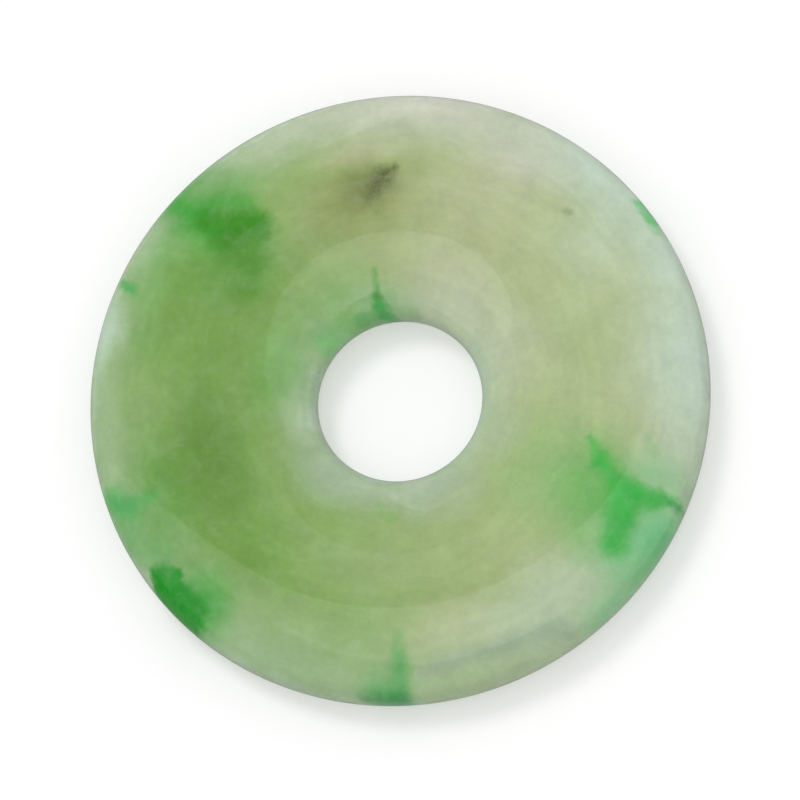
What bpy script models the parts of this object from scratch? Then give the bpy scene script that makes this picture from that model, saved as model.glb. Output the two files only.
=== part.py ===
"""A jade bi disc: a round, polished pendant ring turned from one piece of jade.

The face is a low dome whose crest runs round the ring half way between the hole and the rim.
The dome rolls over both edges on a small radius, and the back is flat, with softened edges.
The disc lies on its back: the origin is at the centre of the hole, on the plane of the back,
and +Z points out of the domed face.
"""

import math

import bmesh
import bpy

# Driving dimensions, in metres
OUTER_DIAMETER = 0.0500
HOLE_DIAMETER = 0.0134
CREST_THICKNESS = 0.0060
EDGE_THICKNESS = 0.0040
OUTER_FRONT_ROUND = 0.0019
OUTER_BACK_ROUND = 0.0021
HOLE_FRONT_ROUND = 0.0019
HOLE_BACK_ROUND = 0.0021
LEAST_WALL_BAND = 0.0002

# How finely the turned surface is divided
SEGMENTS_AROUND = 96
DOME_STEPS = 10
ROUND_STEPS = 5

# Finish of the stone
JADE_COLOUR = (0.36, 0.47, 0.22, 1.0)
JADE_ROUGHNESS = 0.12
JADE_METALLIC = 0.0
JADE_IOR = 1.66
SHARP_EDGE_ANGLE = math.radians(35)


def arc(centre, radius, start, end, steps):
    """Points (r, z) on a circle in the section plane, from angle start to angle end."""
    points = []
    for step in range(steps + 1):
        angle = start + (end - start) * step / steps
        points.append((centre[0] + radius * math.cos(angle), centre[1] + radius * math.sin(angle)))
    return points


def dome_radius(half_width):
    """Radius of the dome that stands CREST_THICKNESS at its crest, EDGE_THICKNESS at both edges."""
    fall = CREST_THICKNESS - EDGE_THICKNESS
    return (half_width**2 + fall**2) / (2 * fall)


def front_round(wall_radius, side, rounding, dome_centre, dome):
    """Centre of the roll that joins the dome to a wall, and the angle where it meets the dome.

    side is +1 at the rim, where the wall faces outwards, and -1 at the hole, where it faces in.
    The roll touches the wall and touches the dome from inside, so the surface has no crease.
    """
    centre_r = wall_radius - side * rounding
    across = centre_r - dome_centre[0]
    reach = dome - rounding
    centre_z = dome_centre[1] + math.sqrt(reach**2 - across**2)
    touch_angle = math.atan2(centre_z - dome_centre[1], across)
    return (centre_r, centre_z), touch_angle


def back_round(wall_radius, side, rounding, front_centre):
    """Centre and radius of the round between a wall and the flat back.

    The wall limits it: a band of LEAST_WALL_BAND stays between it and the roll in front.
    """
    radius = min(rounding, front_centre[1] - LEAST_WALL_BAND)
    return (wall_radius - side * radius, radius), radius


def section():
    """The ring's closed outline in the (r, z) plane, anticlockwise from the back of the rim."""
    rim = OUTER_DIAMETER / 2
    hole = HOLE_DIAMETER / 2
    crest = (rim + hole) / 2
    dome = dome_radius(rim - crest)
    dome_centre = (crest, CREST_THICKNESS - dome)

    rim_front, rim_touch = front_round(rim, 1, OUTER_FRONT_ROUND, dome_centre, dome)
    hole_front, hole_touch = front_round(hole, -1, HOLE_FRONT_ROUND, dome_centre, dome)
    rim_back, rim_back_radius = back_round(rim, 1, OUTER_BACK_ROUND, rim_front)
    hole_back, hole_back_radius = back_round(hole, -1, HOLE_BACK_ROUND, hole_front)

    outline = arc(rim_back, rim_back_radius, -math.pi / 2, 0, ROUND_STEPS)
    outline += arc(rim_front, OUTER_FRONT_ROUND, 0, rim_touch, ROUND_STEPS)
    outline += arc(dome_centre, dome, rim_touch, hole_touch, DOME_STEPS)[1:-1]
    outline += arc(hole_front, HOLE_FRONT_ROUND, hole_touch, math.pi, ROUND_STEPS)
    outline += arc(hole_back, hole_back_radius, math.pi, 1.5 * math.pi, ROUND_STEPS)
    return outline


def jade_material():
    """Polished green jade."""
    material = bpy.data.materials.new("jade")
    material.use_nodes = True
    shader = material.node_tree.nodes["Principled BSDF"]
    shader.inputs["Base Color"].default_value = JADE_COLOUR
    shader.inputs["Roughness"].default_value = JADE_ROUGHNESS
    shader.inputs["Metallic"].default_value = JADE_METALLIC
    shader.inputs["IOR"].default_value = JADE_IOR
    material.diffuse_color = JADE_COLOUR
    return material


def turned_ring(name, outline, material):
    """A closed solid made by turning the outline once round the Z axis."""
    mesh = bpy.data.meshes.new(name)
    form = bmesh.new()
    rings = []
    for step in range(SEGMENTS_AROUND):
        angle = 2 * math.pi * step / SEGMENTS_AROUND
        cosine = math.cos(angle)
        sine = math.sin(angle)
        rings.append([form.verts.new((r * cosine, r * sine, z)) for r, z in outline])
    count = len(outline)
    for step, ring in enumerate(rings):
        following = rings[(step + 1) % SEGMENTS_AROUND]
        for point in range(count):
            onward = (point + 1) % count
            form.faces.new((ring[point], following[point], following[onward], ring[onward]))
    bmesh.ops.recalc_face_normals(form, faces=form.faces)
    form.to_mesh(mesh)
    form.free()

    mesh.materials.append(material)
    mesh.shade_smooth()
    mesh.set_sharp_from_angle(angle=SHARP_EDGE_ANGLE)
    ring_object = bpy.data.objects.new(name, mesh)
    bpy.context.scene.collection.objects.link(ring_object)
    return ring_object


def main():
    for old in list(bpy.data.objects):
        bpy.data.objects.remove(old)
    turned_ring("bi_disc", section(), jade_material())


main()
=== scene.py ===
"""A polished jade bi disc on a pale floor, seen almost straight down in soft studio light."""

import math

import bpy
from mathutils import Matrix, Vector, noise


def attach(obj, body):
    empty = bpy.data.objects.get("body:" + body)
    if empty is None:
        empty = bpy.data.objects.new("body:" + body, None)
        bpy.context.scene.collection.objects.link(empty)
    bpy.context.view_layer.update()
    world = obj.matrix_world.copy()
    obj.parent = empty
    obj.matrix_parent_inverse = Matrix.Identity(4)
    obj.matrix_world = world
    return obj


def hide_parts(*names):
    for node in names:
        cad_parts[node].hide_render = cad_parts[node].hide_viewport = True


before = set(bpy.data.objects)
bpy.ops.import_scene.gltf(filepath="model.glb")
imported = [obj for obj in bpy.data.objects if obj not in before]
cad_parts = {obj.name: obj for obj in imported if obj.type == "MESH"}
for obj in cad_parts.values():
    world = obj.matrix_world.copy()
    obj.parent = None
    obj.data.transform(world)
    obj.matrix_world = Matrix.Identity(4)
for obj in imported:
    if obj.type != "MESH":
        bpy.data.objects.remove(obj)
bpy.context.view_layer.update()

MM = 0.001

# The ring's section, in millimetres
RIM_RADIUS = 25.0
HOLE_RADIUS = 6.7
CREST_THICKNESS = 6.0
EDGE_THICKNESS = 4.0
FRONT_ROUND = 1.9
BACK_ROUND = 2.1

# How finely the ring is divided
SEGMENTS_AROUND = 512
DOME_STEPS = 64
ROUND_STEPS = 14
WALL_STEPS = 3
BACK_STEPS = 24

# Hand work, in millimetres: the hole is drilled a little off centre, and shallow hollows are
# polished into the dome
HOLE_SHIFT = (0.02, -0.13)
POLISH_DEPTH = 0.03
POLISH_SPAN = 7.0

# Camera, in metres: how far it leans off the vertical, which way it leans, how far off it
# stands, how high it aims, the width that its frame takes in there, and its range
CAMERA_LEAN = math.radians(16.09)
CAMERA_BEARING = math.radians(-59.85)
CAMERA_DISTANCE = 1.5
CAMERA_AIM_HEIGHT = 0.0024
FRAME_WIDTH = 0.064
CAMERA_NEAREST = 0.01
CAMERA_FARTHEST = 20.0
SENSOR_WIDTH_MM = 36.0

# Floor: a pale light table, which glows a little. Its size is in metres.
FLOOR_SIZE = 4.0
FLOOR_COLOUR = (0.62, 0.62, 0.62)
FLOOR_GLOW = 0.36

# Key light: a soft sun from the upper left
KEY_BEARING = math.radians(130.4)
KEY_ELEVATION = math.radians(58)
KEY_STRENGTH = 0.82
KEY_SPREAD = math.radians(20)

# Sky: its strength at the horizon and overhead, in the polish, and to the camera
SKY_HORIZON = 0.35
SKY_ZENITH = 1.08
SKY_GLOSSY = 0.3
SKY_SEEN = 0.95

# Light cards overhead, which only the polish mirrors. Each row is a line across the card: x, low
# y and the glow there, high y and the glow there. Places are in card heights, and the height is
# in metres.
CARD_HEIGHT = 0.835
CARDS = {
    "front_card": [
        (-0.70, 0.04, 0.88, 0.060, 0.88),
        (-0.48, -0.17, 0.88, 0.048, 0.88),
        (-0.25, -0.35, 0.88, 0.038, 0.88),
        (-0.07, -0.43, 0.88, 0.022, 0.88),
        (0.16, -0.38, 0.88, 0.055, 0.88),
        (0.25, -0.35, 0.80, 0.100, 0.80),
        (0.39, -0.29, 0.45, 0.28, 0.45),
        (0.60, -0.20, 0.30, 0.40, 0.30),
    ],
    "low_card": [
        (-1.60, -1.60, 0.10, 0.24, 0.70),
        (-1.15, -1.60, 0.00, 0.17, 0.65),
        (-0.70, -1.60, 0.00, 0.04, 0.66),
        (-0.48, -1.60, 0.05, -0.17, 0.64),
        (-0.25, -1.60, 0.10, -0.35, 0.55),
        (-0.07, -1.60, 0.20, -0.43, 0.30),
        (0.16, -1.60, 0.20, -0.38, 0.20),
    ],
    "back_card": [
        (-0.70, 0.060, 0.25, 0.36, 0.25),
        (-0.45, 0.047, 0.30, 0.43, 0.35),
        (-0.20, 0.035, 0.30, 0.47, 0.70),
        (0.02, 0.035, 0.30, 0.50, 0.75),
        (0.38, 0.28, 0.40, 0.56, 0.70),
        (0.80, 0.45, 0.40, 0.62, 0.60),
    ],
    "far_card": [
        (-0.80, 0.93, 0.30, 1.80, 0.30),
        (-0.45, 0.93, 0.50, 1.80, 0.40),
        (-0.365, 0.95, 1.00, 1.80, 0.45),
        (-0.30, 1.05, 1.12, 1.90, 0.45),
        (-0.22, 1.24, 1.00, 2.00, 0.45),
        (-0.16, 1.34, 0.70, 2.00, 0.40),
        (0.00, 1.50, 0.30, 2.00, 0.30),
    ],
    "side_card": [
        (1.20, -1.50, 0.30, 2.50, 0.30),
        (4.00, -2.50, 0.60, 4.00, 0.60),
        (12.00, -5.00, 0.90, 9.00, 0.90),
    ],
}

# Colours of the stone and of its painted edge light, as screen values from 0 to 255
PALETTE = {
    "straw": (184, 192, 152),
    "sand": (188, 186, 150),
    "dew": (170, 187, 166),
    "cream": (196, 206, 172),
    "spring": (140, 214, 128),
    "bracken": (102, 160, 72),
    "forest": (66, 136, 2),
    "pine": (58, 142, 58),
    "sage": (154, 176, 117),
    "leaf": (138, 171, 102),
    "grass": (54, 160, 48),
    "moss": (110, 153, 66),
    "deep moss": (94, 138, 48),
    "ochre": (140, 152, 84),
    "ice": (196, 214, 198),
    "pale": (200, 206, 190),
    "chalk": (206, 205, 194),
    "mist": (178, 198, 168),
    "ash": (158, 178, 148),
    "fern": (112, 176, 86),
    "teal": (116, 194, 136),
    "vivid": (44, 176, 62),
    "olive green": (50, 138, 12),
    "emerald": (2, 142, 14),
    "mint": (112, 200, 128),
    "leek": (72, 168, 84),
    "bottle": (40, 138, 76),
    "umber": (78, 88, 38),
}

# The body runs from moss on the left to straw on the right: place along the grain in
# millimetres, and the colour there
GRAIN = (0.97, 0.24, 0.0)
BODY = [
    (-20, (122, 163, 82)),
    (-14, (116, 158, 72)),
    (-7, (138, 171, 98)),
    (0, (154, 176, 115)),
    (8, (168, 184, 131)),
    (20, (178, 192, 146)),
]

# At the hole's edge it also lightens the shade that falls there.
# Painted light: paler colour for the glow of light through the thin edges of the rim and hole.
# Rings of painted light: colour, radius where it starts, radius where it is full, cover
PAINTED_EDGE_LIGHT = [
    ("mist", 18.5, 25.0, 0.55),
    ("mist", 10.8, 6.2, 0.8),
    ("ice", 7.6, 6.4, 0.45),
    ("ice", 24.2, 25.2, 0.3),
]

# Clouds in the stone: name, colour, centre x and y, reach across and along, turn in degrees,
# share of the reach that is full, cover. The first ones lie under the rings.
DEEP_CLOUDS = [
    ("heart of moss", "deep moss", -14.9, -4.8, 5.6, 9.5, 10, 0.0, 0.9),
    ("moss above", "moss", -13.4, 6.5, 5.0, 7.5, 0, 0.0, 0.6),
    ("olive below", "moss", -11.0, -11.5, 7.0, 4.5, -28, 0.0, 0.5),
    ("ochre halo", "ochre", -2.5, 15.6, 9.0, 4.8, 8, 0.0, 0.9),
    ("above the inclusion", "sand", -2.6, 19.8, 5.5, 2.2, 5, 0.0, 0.6),
    ("lower right fern", "fern", 14.0, -8.0, 8.5, 8.0, 0, 0.0, 0.6),
    ("right sage", "sage", 16.5, 3.0, 5.0, 5.0, 0, 0.0, 0.4),
    ("bottom sage", "sage", 0.0, -14.5, 11.0, 6.0, 0, 0.0, 0.5),
    ("bottom straw", "straw", 5.5, -19.6, 7.5, 3.4, 18, 0.0, 0.6),
    ("bottom left leaf", "leaf", -8.6, -19.0, 7.5, 4.5, -25, 0.0, 0.65),
    ("upper right straw", "straw", 8.0, 18.5, 9.0, 7.0, -25, 0.0, 0.6),
    ("upper sand", "sand", 5.5, 13.0, 10.0, 9.0, -15, 0.0, 0.35),
    ("moss by the ring", "moss", -9.0, 8.8, 4.2, 6.2, 25, 0.0, 0.45),
    ("moss left of the hole", "moss", -10.6, 0.0, 2.4, 4.2, 0, 0.0, 0.4),
]
PALE_CLOUDS = [
    ("right ice", "ice", 25.0, 3.0, 8.0, 17.0, 0, 0.0, 0.95),
    ("right shoulder", "ice", 17.0, 11.5, 6.0, 5.0, 0, 0.0, 0.35),
    ("upper right ice", "ice", 17.5, 18.5, 14.0, 6.5, -38, 0.0, 0.95),
    ("right ice above", "ice", 22.2, 10.8, 3.8, 4.8, 25, 0.0, 0.75),
    ("upper right chalk", "chalk", 10.5, 19.0, 6.5, 4.8, -35, 0.0, 0.5),
    ("top pale", "chalk", 2.0, 25.2, 18.0, 6.8, -4, 0.0, 0.85),
    ("upper left mist", "pale", -9.5, 21.8, 8.0, 3.6, 24, 0.0, 0.4),
    ("left ice", "ice", -23.8, 6.2, 2.7, 5.2, -8, 0.0, 0.75),
    ("left shoulder", "mist", -20.6, 13.6, 2.8, 3.0, 0, 0.0, 0.35),
    ("lower right mist", "mist", 12.6, -17.3, 9.8, 5.0, 38, 0.1, 0.65),
    ("left leaf", "leaf", -20.0, 0.5, 4.8, 7.0, 0, 0.0, 0.7),
    ("left bracken", "bracken", -20.2, 5.0, 2.6, 4.0, 0, 0.0, 0.3),
    ("lower left bracken", "bracken", -18.9, -9.8, 4.8, 6.4, 20, 0.0, 0.75),
    ("left of the hole", "mist", -7.5, 0.6, 3.2, 5.4, 8, 0.0, 0.75),
    ("below left of the hole", "dew", -5.2, -6.4, 5.4, 3.6, -35, 0.0, 0.6),
    ("below the hole", "dew", 2.0, -7.8, 8.5, 4.5, 6, 0.0, 0.65),
    ("pale below the hole", "pale", 1.5, -7.3, 2.4, 1.5, 0, 0.0, 0.4),
    ("below right of the hole", "dew", 8.8, -3.6, 3.2, 3.6, 0, 0.0, 0.4),
    ("right of the hole", "pale", 9.5, 2.8, 4.5, 6.0, 0, 0.0, 0.4),
    ("above the hole", "chalk", 5.5, 7.6, 6.5, 4.2, -35, 0.0, 0.35),
]
GREEN_CLOUDS = [
    ("green left of hole", "fern", -9.1, 2.6, 3.7, 6.2, -10, 0.0, 0.65),
    ("green above hole", "fern", -4.6, 7.6, 5.5, 3.8, 28, 0.0, 0.5),
    ("green round the spike", "leek", -1.2, 7.8, 2.8, 1.6, 0, 0.0, 0.35),
    ("teal by the hole", "leek", -5.8, 5.0, 2.0, 1.6, 40, 0.0, 0.5),
    ("left olive", "olive green", -19.4, -6.4, 4.2, 6.5, 0, 0.0, 0.18),
    ("olive above the emerald", "forest", -17.6, -13.4, 3.4, 2.6, 0, 0.0, 0.14),
    ("left shoulder green", "leek", -18.6, 12.6, 3.0, 2.6, 0, 0.0, 0.18),
    ("upper left halo", "fern", -14.5, 12.5, 7.0, 6.5, -20, 0.0, 0.9),
    ("upper left shade", "olive green", -12.6, 11.6, 5.0, 5.4, -20, 0.0, 0.5),
    ("upper left rim", "grass", -17.4, 17.8, 5.5, 2.6, 45, 0.0, 0.6),
    ("upper left crest", "grass", -13.6, 17.4, 4.4, 2.8, 8, 0.0, 0.42),
    ("left fern", "fern", -20.0, 9.2, 2.8, 3.4, 0, 0.0, 0.45),
    ("left rim", "leek", -22.6, -8.4, 3.8, 2.2, -25, 0.0, 0.6),
    ("left rim below", "leek", -22.0, -11.0, 2.6, 3.6, 28, 0.0, 0.45),
    ("above the emerald", "leek", -19.2, -12.6, 2.4, 2.0, 0, 0.0, 0.35),
    ("emerald spill", "grass", -15.4, -16.8, 3.7, 4.5, 0, 0.0, 0.95),
    ("bottom patch", "leek", -1.2, -24.8, 3.2, 3.4, -12, 0.0, 0.85),
    ("Y halo", "vivid", 17.0, -9.8, 5.6, 7.4, 15, 0.0, 0.55),
    ("Y teal", "teal", 20.8, -12.5, 3.5, 5.4, -32, 0.0, 1.0),
    ("Y foot", "teal", 17.8, -14.6, 3.4, 3.4, 0, 0.0, 0.45),
    ("Y foot fern", "fern", 15.4, -13.2, 2.8, 2.8, 0, 0.0, 0.35),
    ("Y shoulder", "teal", 21.2, -7.6, 3.6, 2.8, -20, 0.0, 0.45),
    ("rim teal", "teal", 17.8, -18.2, 2.8, 6.5, -45, 0.0, 0.9),
    ("inclusion haze", "umber", -1.8, 16.5, 3.6, 3.0, 22, 0.0, 0.48),
]

# Besides the veins, this list holds two strips of painted light on the hole's lip.
# Veins: name, colour, start x and y, end x and y, half width at the start and at the end,
# share of the half width that is full, cover
VEINS_AND_PAINTED_LIGHT = [
    ("below the arm", "grass", -14.2, 13.2, -17.2, 14.5, 2.0, 1.9, 0.0, 0.6),
    ("arm", "grass", -15.4, 15.0, -18.0, 16.4, 1.9, 1.9, 0.0, 0.85),
    ("wing crest", "grass", -11.6, 15.7, -15.6, 16.4, 1.6, 1.5, 0.0, 0.65),
    ("wing", "olive green", -10.7, 14.2, -15.2, 14.5, 1.6, 2.1, 0.1, 0.9),
    ("wing fill", "olive green", -10.6, 13.2, -14.0, 13.1, 1.9, 1.9, 0.0, 0.85),
    ("wing point", "olive green", -13.2, 13.0, -13.4, 12.0, 1.0, 0.7, 0.0, 0.6),
    ("tail", "forest", -12.1, 11.8, -11.7, 9.0, 3.4, 2.7, 0.0, 0.72),
    ("tail spread", "moss", -13.8, 9.6, -17.3, 10.8, 2.8, 2.6, 0.0, 0.5),
    ("left wedge", "leek", -22.6, 10.0, -21.3, 9.2, 0.6, 0.8, 0.0, 0.8),
    ("left streak", "leek", -23.5, -7.6, -21.8, -8.4, 1.5, 1.4, 0.0, 0.65),
    ("left streak end", "leek", -21.6, -8.5, -19.3, -8.0, 1.3, 0.9, 0.0, 0.5),
    ("emerald top", "emerald", -19.2, -14.0, -17.9, -14.2, 1.2, 1.0, 0.3, 1.0),
    ("emerald", "emerald", -18.7, -15.2, -17.0, -17.3, 2.0, 2.3, 0.45, 1.0),
    ("Y top arm", "vivid", 15.9, -4.7, 17.0, -6.4, 0.7, 1.2, 0.0, 0.6),
    ("Y shoulder arm", "vivid", 16.9, -6.8, 18.4, -8.4, 1.4, 1.9, 0.0, 0.8),
    ("Y heart", "vivid", 18.6, -9.2, 20.3, -9.7, 1.8, 1.6, 0.0, 0.65),
    ("Y right arm", "vivid", 20.1, -9.4, 22.3, -9.6, 1.6, 0.8, 0.0, 0.85),
    ("Y lower arm", "vivid", 18.6, -9.4, 17.7, -13.2, 2.2, 1.7, 0.1, 0.95),
    ("Y tip", "bottle", 22.0, -9.7, 23.1, -10.5, 0.6, 0.9, 0.0, 0.5),
    ("rim green", "leek", 22.6, -10.7, 19.3, -15.7, 1.0, 1.2, 0.0, 0.35),
    ("bottom spike", "grass", 0.4, -20.2, 0.3, -22.2, 1.0, 1.3, 0.0, 0.35),
    ("bottom stem", "leek", 0.3, -22.0, -0.1, -25.0, 1.2, 1.5, 0.0, 0.55),
    ("bottom rim", "bottle", -3.0, -24.8, 0.1, -24.9, 1.0, 1.2, 0.0, 0.65),
    # Painted light: a paler strip on the hole's upper right lip, against the shade that falls
    # there
    ("painted light on the lip", "cream", 2.0, 6.9, 5.6, 4.8, 0.9, 0.9, 0.0, 0.5),
    ("lip top", "fern", 0.0, 6.9, 1.2, 6.8, 0.9, 0.7, 0.0, 0.4),
    # Painted light: a paler strip on the hole's left lip, against the shade there
    ("painted light on the left lip", "ice", -6.9, -2.0, -6.6, 2.2, 0.9, 0.9, 0.0, 0.6),
    ("lip upper left", "spring", -5.9, 4.2, -3.4, 6.2, 1.2, 0.9, 0.0, 0.6),
    ("lip shade", "fern", -4.4, 6.2, -1.0, 6.8, 1.2, 1.0, 0.0, 0.5),
    ("hole spike", "grass", -1.75, 10.1, -1.65, 8.2, 0.4, 0.6, 0.0, 0.5),
    ("hole spike heart", "pine", -1.62, 8.4, -1.42, 7.3, 0.5, 0.9, 0.0, 0.75),
    ("hole spike foot", "leek", -1.4, 7.3, -1.2, 6.6, 0.9, 1.1, 0.0, 0.8),
    ("hole lip", "leek", -3.4, 6.4, -0.6, 6.9, 0.6, 0.6, 0.0, 0.5),
    ("upper right green", "mint", 19.5, 15.5, 20.4, 13.8, 0.75, 0.65, 0.2, 0.9),
    ("upper right trail", "mint", 20.4, 13.6, 20.9, 12.7, 0.6, 0.5, 0.0, 0.45),
    ("ash streak", "ash", 1.8, -23.1, 13.2, -19.6, 0.9, 1.5, 0.0, 0.9),
    ("fleck", "fern", -1.5, -9.2, -0.3, -10.4, 0.5, 0.8, 0.0, 0.4),
    ("right fleck", "fern", 20.5, -4.6, 20.8, -5.8, 0.6, 0.7, 0.0, 0.3),
    ("speck", "umber", 14.1, 14.1, 14.4, 14.0, 0.6, 0.5, 0.0, 0.3),
]

# Dark inclusion near the top, laid on grain by grain in the same way
INCLUSION = [
    ("inclusion", "umber", 0.2, 18.3, -0.8, 17.3, 0.8, 1.6, 0.0, 0.75),
    ("inclusion foot", "umber", -0.8, 17.2, -1.6, 15.9, 1.6, 1.0, 0.0, 0.6),
]

# How the clouds go down into the stone, in millimetres: they are fullest at FACE_DEPTH above
# the back, fade over CLOUD_DEPTH, and lean sideways by CLOUD_LEAN for each millimetre of depth
FACE_DEPTH = 5.0
CLOUD_DEPTH = 9.0
CLOUD_LEAN = (0.2, -0.15, 0.0)

# The noise that stirs the clouds and the one that stirs the veins, each in two steps: size of
# the lumps and reach in millimetres, detail, roughness
CLOUD_STIRS = [(5.0, 2.4, 2.0, 0.55), (1.1, 0.9, 3.0, 0.65)]
VEIN_STIRS = [(2.2, 0.9, 2.0, 0.55), (0.8, 0.9, 4.0, 0.7)]

# Fine textures: size of the lumps in millimetres, detail, roughness
GRAIN_LUMPS = (0.3, 2.0, 0.6)
WISP_LUMPS = (1.6, 5.0, 0.65)
MOTTLE_LUMPS = (0.6, 3.0, 0.6)
HAZE_LUMPS = (2.6, 4.0, 0.6)
TURNED_LUMPS = (0.9, 3.0, 0.5)
WEAR_LUMPS = (3.0, 3.0, 0.55)

# Where in their noise the inclusion's grains start and are full, and the least cover between them
GRAIN_SPAN = (0.35, 0.6)
GRAIN_LEAST = 0.5

# The same for the pale wisps, and their full cover
WISP_SPAN = (0.4, 0.75)
WISP_COVER = 0.12

# By what share the mottle, the haze and the turning marks lighten and darken the stone, from one
# end of this span of their noise to the other
SHADE_SPAN = (0.2, 0.8)
MOTTLE_SHARE = 0.06
HAZE_SHARE = 0.09
TURNED_SHARE = 0.06

# Finish
JADE_IOR = 1.66
JADE_SUBSURFACE = 0.35
JADE_SCATTER = (0.8, 1.0, 0.7)
JADE_SCATTER_SCALE = 0.001
LOWEST_ROUGHNESS = 0.03
HIGHEST_ROUGHNESS = 0.06


def arc(centre, radius, start, end, steps):
    """Points (r, z) on a circle in the section plane, without the last one."""
    return [
        (
            centre[0] + radius * math.cos(start + (end - start) * step / steps),
            centre[1] + radius * math.sin(start + (end - start) * step / steps),
        )
        for step in range(steps)
    ]


def line(start, end, steps):
    """Points (r, z) on a straight line in the section plane, without the last one."""
    return [
        (
            start[0] + (end[0] - start[0]) * step / steps,
            start[1] + (end[1] - start[1]) * step / steps,
        )
        for step in range(steps)
    ]


def section():
    """The ring's closed outline in millimetres, anticlockwise from the back of the rim."""
    crest = (RIM_RADIUS + HOLE_RADIUS) / 2
    half = RIM_RADIUS - crest
    fall = CREST_THICKNESS - EDGE_THICKNESS
    dome = (half**2 + fall**2) / (2 * fall)
    dome_z = CREST_THICKNESS - dome
    across = half - FRONT_ROUND
    roll_z = dome_z + math.sqrt((dome - FRONT_ROUND) ** 2 - across**2)
    touch = math.atan2(roll_z - dome_z, across)

    rim_roll = (RIM_RADIUS - FRONT_ROUND, roll_z)
    hole_roll = (HOLE_RADIUS + FRONT_ROUND, roll_z)
    rim_back = (RIM_RADIUS - BACK_ROUND, BACK_ROUND)
    hole_back = (HOLE_RADIUS + BACK_ROUND, BACK_ROUND)

    points = arc(rim_back, BACK_ROUND, -math.pi / 2, 0, ROUND_STEPS)
    points += line((RIM_RADIUS, BACK_ROUND), (RIM_RADIUS, roll_z), WALL_STEPS)
    points += arc(rim_roll, FRONT_ROUND, 0, touch, ROUND_STEPS)
    points += arc((crest, dome_z), dome, touch, math.pi - touch, DOME_STEPS)
    points += arc(hole_roll, FRONT_ROUND, math.pi - touch, math.pi, ROUND_STEPS)
    points += line((HOLE_RADIUS, roll_z), (HOLE_RADIUS, BACK_ROUND), WALL_STEPS)
    points += arc(hole_back, BACK_ROUND, math.pi, 1.5 * math.pi, ROUND_STEPS)
    points += line((HOLE_RADIUS + BACK_ROUND, 0), (RIM_RADIUS - BACK_ROUND, 0), BACK_STEPS)
    return points


def polish(x, y, z):
    """How far the polisher took the face down at this place, in millimetres."""
    if z < BACK_ROUND:
        return 0.0
    wave = noise.noise(Vector((x, y, z)) / POLISH_SPAN)
    return POLISH_DEPTH * (0.5 + 0.5 * wave) * min(1.0, (z - BACK_ROUND) / BACK_ROUND)


def turned_ring(name, outline):
    """A closed mesh made by turning the outline round the Z axis."""
    count = len(outline)
    places = []
    faces = []
    for step in range(SEGMENTS_AROUND):
        angle = 2 * math.pi * step / SEGMENTS_AROUND
        for r, z in outline:
            near_hole = (RIM_RADIUS - r) / (RIM_RADIUS - HOLE_RADIUS)
            x = r * math.cos(angle) + HOLE_SHIFT[0] * near_hole
            y = r * math.sin(angle) + HOLE_SHIFT[1] * near_hole
            places.append((x * MM, y * MM, (z - polish(x, y, z)) * MM))
        here = step * count
        onward = (step + 1) % SEGMENTS_AROUND * count
        for point in range(count):
            following = (point + 1) % count
            faces.append((here + point, onward + point, onward + following, here + following))
    mesh = bpy.data.meshes.new(name)
    mesh.from_pydata(places, [], faces)
    mesh.validate()
    mesh.update()
    mesh.shade_smooth()
    ring = bpy.data.objects.new(name, mesh)
    bpy.context.scene.collection.objects.link(ring)
    return ring


def stage_mesh(name, corners, faces, material):
    """A flat piece of the studio, from corners in metres."""
    mesh = bpy.data.meshes.new(name)
    mesh.from_pydata(corners, [], faces)
    mesh.materials.append(material)
    made = bpy.data.objects.new(name, mesh)
    bpy.context.scene.collection.objects.link(made)
    return made


def floor_material():
    """A matt, pale finish that glows a little."""
    material = bpy.data.materials.new("floor")
    material.use_nodes = True
    shader = material.node_tree.nodes["Principled BSDF"]
    shader.inputs["Base Color"].default_value = (*FLOOR_COLOUR, 1)
    shader.inputs["Roughness"].default_value = 1.0
    shader.inputs["Specular IOR Level"].default_value = 0.0
    shader.inputs["Emission Color"].default_value = (1, 1, 1, 1)
    shader.inputs["Emission Strength"].default_value = FLOOR_GLOW
    return material


def glow_material():
    """White light as strong as the card's own glow value at each place."""
    material = bpy.data.materials.new("glow")
    material.use_nodes = True
    nodes, links = material.node_tree.nodes, material.node_tree.links
    nodes.clear()
    output = nodes.new("ShaderNodeOutputMaterial")
    light = nodes.new("ShaderNodeEmission")
    glow = nodes.new("ShaderNodeAttribute")
    glow.attribute_name = "glow"
    links.new(glow.outputs["Fac"], light.inputs["Strength"])
    links.new(light.outputs["Emission"], output.inputs["Surface"])
    return material


def light_card(name, rows, material):
    """A glowing card overhead, seen only in reflections."""
    corners = []
    glow = []
    for x, low, low_glow, high, high_glow in rows:
        corners.append((x * CARD_HEIGHT, low * CARD_HEIGHT, CARD_HEIGHT))
        corners.append((x * CARD_HEIGHT, high * CARD_HEIGHT, CARD_HEIGHT))
        glow += [low_glow, high_glow]
    faces = [(2 * n, 2 * n + 2, 2 * n + 3, 2 * n + 1) for n in range(len(rows) - 1)]
    card = stage_mesh(name, corners, faces, material)
    card.data.attributes.new("glow", "FLOAT", "POINT").data.foreach_set("value", glow)
    card.visible_camera = False
    card.visible_diffuse = False
    card.visible_shadow = False
    card.visible_transmission = False
    card.visible_volume_scatter = False


def build_cards():
    """The soft boxes that the polished face mirrors."""
    material = glow_material()
    for name, rows in CARDS.items():
        light_card(name, rows, material)


def build_floor():
    """The pale floor, which the polish doesn't mirror."""
    half = FLOOR_SIZE / 2
    corners = [(-half, -half, 0), (half, -half, 0), (half, half, 0), (-half, half, 0)]
    floor = stage_mesh("floor", corners, [(0, 1, 2, 3)], floor_material())
    floor.visible_glossy = False


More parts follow.
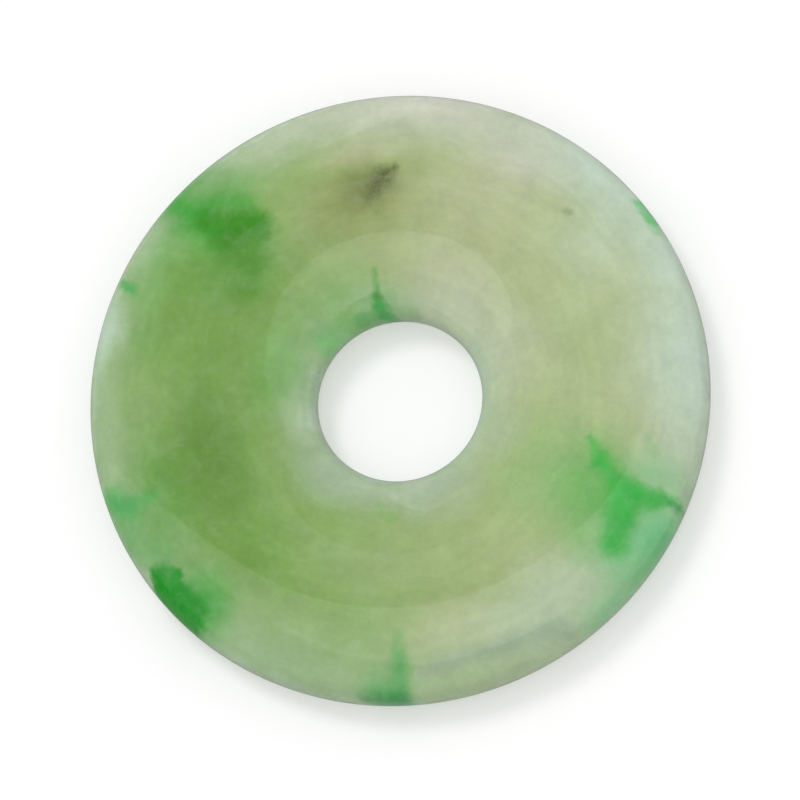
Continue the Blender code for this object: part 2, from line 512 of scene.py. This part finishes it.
def build_key():
    """The sun that casts the soft shadow. The polish doesn't mirror it."""
    key = bpy.data.lights.new("key", "SUN")
    key.energy = KEY_STRENGTH
    key.angle = KEY_SPREAD
    key_object = bpy.data.objects.new("key", key)
    towards = Vector(
        (
            math.cos(KEY_BEARING) * math.cos(KEY_ELEVATION),
            math.sin(KEY_BEARING) * math.cos(KEY_ELEVATION),
            math.sin(KEY_ELEVATION),
        )
    )
    key_object.rotation_euler = towards.to_track_quat("Z", "Y").to_euler()
    key_object.visible_glossy = False
    bpy.context.scene.collection.objects.link(key_object)


def build_sky():
    """White light that grows towards the zenith, weaker in the polish and even to the camera."""
    world = bpy.data.worlds.new("studio")
    world.use_nodes = True
    bpy.context.scene.world = world
    nodes, links = world.node_tree.nodes, world.node_tree.links
    background = nodes["Background"]
    background.inputs["Color"].default_value = (1, 1, 1, 1)
    direction = nodes.new("ShaderNodeTexCoord")
    parts = nodes.new("ShaderNodeSeparateXYZ")
    height = nodes.new("ShaderNodeMapRange")
    height.inputs["To Min"].default_value = SKY_HORIZON
    height.inputs["To Max"].default_value = SKY_ZENITH
    rays = nodes.new("ShaderNodeLightPath")
    glossy = nodes.new("ShaderNodeMix")
    glossy.inputs["B"].default_value = SKY_GLOSSY
    seen = nodes.new("ShaderNodeMix")
    seen.inputs["B"].default_value = SKY_SEEN
    links.new(direction.outputs["Generated"], parts.inputs["Vector"])
    links.new(parts.outputs["Z"], height.inputs["Value"])
    links.new(height.outputs["Result"], glossy.inputs["A"])
    links.new(rays.outputs["Is Glossy Ray"], glossy.inputs["Factor"])
    links.new(glossy.outputs["Result"], seen.inputs["A"])
    links.new(rays.outputs["Is Camera Ray"], seen.inputs["Factor"])
    links.new(seen.outputs["Result"], background.inputs["Strength"])


def build_camera():
    """A far camera with a long lens, turned so that its frame stays level."""
    camera = bpy.data.cameras.new("camera")
    camera.sensor_width = SENSOR_WIDTH_MM
    camera.lens = SENSOR_WIDTH_MM * CAMERA_DISTANCE / FRAME_WIDTH
    camera.clip_start = CAMERA_NEAREST
    camera.clip_end = CAMERA_FARTHEST
    back = Vector(
        (
            math.sin(CAMERA_LEAN) * math.cos(CAMERA_BEARING),
            math.sin(CAMERA_LEAN) * math.sin(CAMERA_BEARING),
            math.cos(CAMERA_LEAN),
        )
    )
    across = Vector((0, 1, 0)).cross(back).normalized()
    up = back.cross(across)
    camera_object = bpy.data.objects.new("camera", camera)
    place = Vector((0, 0, CAMERA_AIM_HEIGHT)) + back * CAMERA_DISTANCE
    turn = Matrix((across, up, back)).transposed().to_4x4()
    camera_object.matrix_world = Matrix.Translation(place) @ turn
    bpy.context.scene.collection.objects.link(camera_object)
    bpy.context.scene.camera = camera_object


def linear(colour):
    """Linear light from screen values."""
    values = []
    for part in colour:
        part /= 255
        values.append(part / 12.92 if part <= 0.04045 else ((part + 0.055) / 1.055) ** 2.4)
    return (*values, 1)


def tint(name):
    """A palette colour as linear light."""
    return linear(PALETTE[name])


class Graph:
    """Short names for the nodes that a material is built from."""

    def __init__(self, tree):
        self.tree = tree

    def node(self, kind, inputs, **settings):
        """A new node with its settings, and with its inputs set or linked."""
        made = self.tree.nodes.new(kind)
        for name, value in settings.items():
            setattr(made, name, value)
        for name, value in inputs.items():
            if isinstance(value, bpy.types.NodeSocket):
                self.tree.links.new(value, made.inputs[name])
            else:
                made.inputs[name].default_value = value
        return made

    def vector(self, operation, inputs):
        """A new vector from others."""
        return self.node("ShaderNodeVectorMath", inputs, operation=operation).outputs["Vector"]

    def number(self, operation, inputs):
        """A length or a dot product."""
        return self.node("ShaderNodeVectorMath", inputs, operation=operation).outputs["Value"]

    def value(self, operation, first, second):
        """Plain arithmetic."""
        return self.node("ShaderNodeMath", {0: first, 1: second}, operation=operation).outputs[0]

    def rise(self, value, start, full, low=0.0, high=1.0, shape="SMOOTHSTEP"):
        """Goes from low to high as the value goes from start to full."""
        inputs = {"Value": value, "From Min": start, "From Max": full}
        inputs.update({"To Min": low, "To Max": high})
        settings = {"interpolation_type": shape, "clamp": False}
        return self.node("ShaderNodeMapRange", inputs, **settings).outputs[0]

    def over(self, mask, below, above):
        """One colour laid over another.

        On a mix of colours, input 0 is the factor, 6 and 7 are the colours, and output 2 is the
        result.
        """
        inputs = {0: mask, 6: below, 7: above}
        return self.node("ShaderNodeMix", inputs, data_type="RGBA").outputs[2]

    def lumps(self, where, size, detail, roughness):
        """Soft noise whose lumps are about this many millimetres across."""
        inputs = {"Vector": where, "Scale": 1 / size, "Detail": detail, "Roughness": roughness}
        return self.node("ShaderNodeTexNoise", inputs)

    def stirred(self, where, size, reach, detail, roughness):
        """The place pushed about by noise, by up to about half of reach each way.

        The middle of the noise, 0.5 each way, pushes nowhere.
        """
        push = self.lumps(where, size, detail, roughness).outputs["Color"]
        level = self.vector("SUBTRACT", {0: push, 1: (0.5, 0.5, 0.5)})
        return self.vector("ADD", {0: where, 1: self.vector("SCALE", {0: level, "Scale": reach})})

    def cloud(self, where, cloud):
        """How strongly a cloud covers each place."""
        name, colour, x, y, across, along, turn, core, cover = cloud
        inputs = {
            "Vector": where,
            "Location": (x, y, FACE_DEPTH),
            "Rotation": (0, 0, math.radians(turn)),
            "Scale": (across, along, CLOUD_DEPTH),
        }
        fitted = self.node("ShaderNodeMapping", inputs, vector_type="TEXTURE", label=name)
        away = self.number("LENGTH", {0: fitted.outputs[0]})
        return self.rise(away, 1.0, core, high=cover)

    def clouded(self, colour, where, clouds):
        """The colour with each of the clouds laid over it in turn."""
        for cloud in clouds:
            colour = self.over(self.cloud(where, cloud), colour, tint(cloud[1]))
        return colour

    def vein(self, where, vein):
        """How strongly a vein covers each place. Veins narrow as they go down."""
        name, colour, x0, y0, x1, y1, start_width, end_width, core, cover = vein
        along = Vector((x1 - x0, y1 - y0, 0))
        from_start = self.vector("SUBTRACT", {0: where, 1: (x0, y0, FACE_DEPTH)})
        share = self.number("DOT_PRODUCT", {0: from_start, 1: along / along.length_squared})
        share = self.value("MINIMUM", self.value("MAXIMUM", share, 0.0), 1.0)
        foot = self.vector("SCALE", {0: along, "Scale": share})
        aside = self.vector("SUBTRACT", {0: from_start, 1: foot})
        aside = self.vector("MULTIPLY", {0: aside, 1: (1, 1, start_width / CLOUD_DEPTH)})
        width = self.rise(share, 0.0, 1.0, start_width, end_width, "LINEAR")
        away = self.value("DIVIDE", self.number("LENGTH", {0: aside}), width)
        return self.rise(away, 1.0, core, high=cover)


def body_colour(graph, where):
    """The stone's own colour before any cloud: a run of colours along the grain."""
    low, high = BODY[0][0], BODY[-1][0]
    along = graph.number("DOT_PRODUCT", {0: where, 1: GRAIN})
    share = graph.rise(along, low, high, shape="LINEAR")
    ramp = graph.node("ShaderNodeValToRGB", {"Fac": share})
    stops = ramp.color_ramp.elements
    while len(stops) < len(BODY):
        stops.new(0.5)
    for stop, (place, colour) in zip(stops, BODY):
        stop.position = (place - low) / (high - low)
        stop.color = linear(colour)
    return ramp.outputs["Color"]


def jade():
    """Polished jade: moss on the left, straw on the right, green patches, and painted light at
    the edges and on the hole's lip.
    """
    material = bpy.data.materials.new("jade")
    material.use_nodes = True
    shader = material.node_tree.nodes["Principled BSDF"]
    graph = Graph(material.node_tree)

    place = graph.node("ShaderNodeTexCoord", {}).outputs["Object"]
    plain = graph.vector("SCALE", {0: place, "Scale": 1 / MM})
    depth = graph.number("DOT_PRODUCT", {0: plain, 1: (0, 0, 1)})
    below = graph.value("SUBTRACT", depth, FACE_DEPTH)
    lean = graph.vector("SCALE", {0: CLOUD_LEAN, "Scale": below})
    soft = crisp = graph.vector("ADD", {0: plain, 1: lean})
    for stir in CLOUD_STIRS:
        soft = graph.stirred(soft, *stir)
    for stir in VEIN_STIRS:
        crisp = graph.stirred(crisp, *stir)

    colour = graph.clouded(body_colour(graph, soft), soft, DEEP_CLOUDS)
    radius = graph.number("LENGTH", {0: graph.vector("MULTIPLY", {0: soft, 1: (1, 1, 0)})})
    # Painted light: paler rings for the glow through the thin edges of the rim and the hole
    for name, start, full, cover in PAINTED_EDGE_LIGHT:
        colour = graph.over(graph.rise(radius, start, full, high=cover), colour, tint(name))
    colour = graph.clouded(colour, soft, PALE_CLOUDS)
    colour = graph.clouded(colour, crisp, GREEN_CLOUDS)
    # Veins, and the strips of painted light on the hole's lip
    for vein in VEINS_AND_PAINTED_LIGHT:
        colour = graph.over(graph.vein(crisp, vein), colour, tint(vein[1]))

    grains = graph.lumps(plain, *GRAIN_LUMPS).outputs["Fac"]
    grains = graph.rise(grains, *GRAIN_SPAN, GRAIN_LEAST)
    for vein in INCLUSION:
        grainy = graph.value("MULTIPLY", graph.vein(crisp, vein), grains)
        colour = graph.over(grainy, colour, tint(vein[1]))

    wisps = graph.lumps(soft, *WISP_LUMPS).outputs["Fac"]
    wisps = graph.rise(wisps, *WISP_SPAN, high=WISP_COVER)
    colour = graph.over(wisps, colour, tint("mist"))

    mottle = graph.lumps(plain, *MOTTLE_LUMPS).outputs["Fac"]
    haze = graph.lumps(plain, *HAZE_LUMPS).outputs["Fac"]
    turned = graph.node("ShaderNodeCombineXYZ", {"X": radius}).outputs[0]
    marks = graph.lumps(turned, *TURNED_LUMPS).outputs["Fac"]
    for texture, share in ((mottle, MOTTLE_SHARE), (haze, HAZE_SHARE), (marks, TURNED_SHARE)):
        shade = graph.rise(texture, *SHADE_SPAN, 1 - share, 1 + share, "LINEAR")
        colour = graph.vector("SCALE", {0: colour, "Scale": shade})
    material.node_tree.links.new(colour, shader.inputs["Base Color"])

    worn = graph.lumps(plain, *WEAR_LUMPS).outputs["Fac"]
    dull = graph.rise(worn, 0.0, 1.0, LOWEST_ROUGHNESS, HIGHEST_ROUGHNESS, "LINEAR")
    material.node_tree.links.new(dull, shader.inputs["Roughness"])

    shader.inputs["IOR"].default_value = JADE_IOR
    shader.inputs["Subsurface Weight"].default_value = JADE_SUBSURFACE
    shader.inputs["Subsurface Radius"].default_value = JADE_SCATTER
    shader.inputs["Subsurface Scale"].default_value = JADE_SCATTER_SCALE
    return material


def main():
    build_camera()
    build_floor()
    build_key()
    build_sky()
    build_cards()
    ring = turned_ring("jade_ring", section())
    ring.data.materials.append(jade())
    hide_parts("bi_disc")
    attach(ring, "root")
    bpy.context.scene.view_settings.view_transform = "Standard"


main()
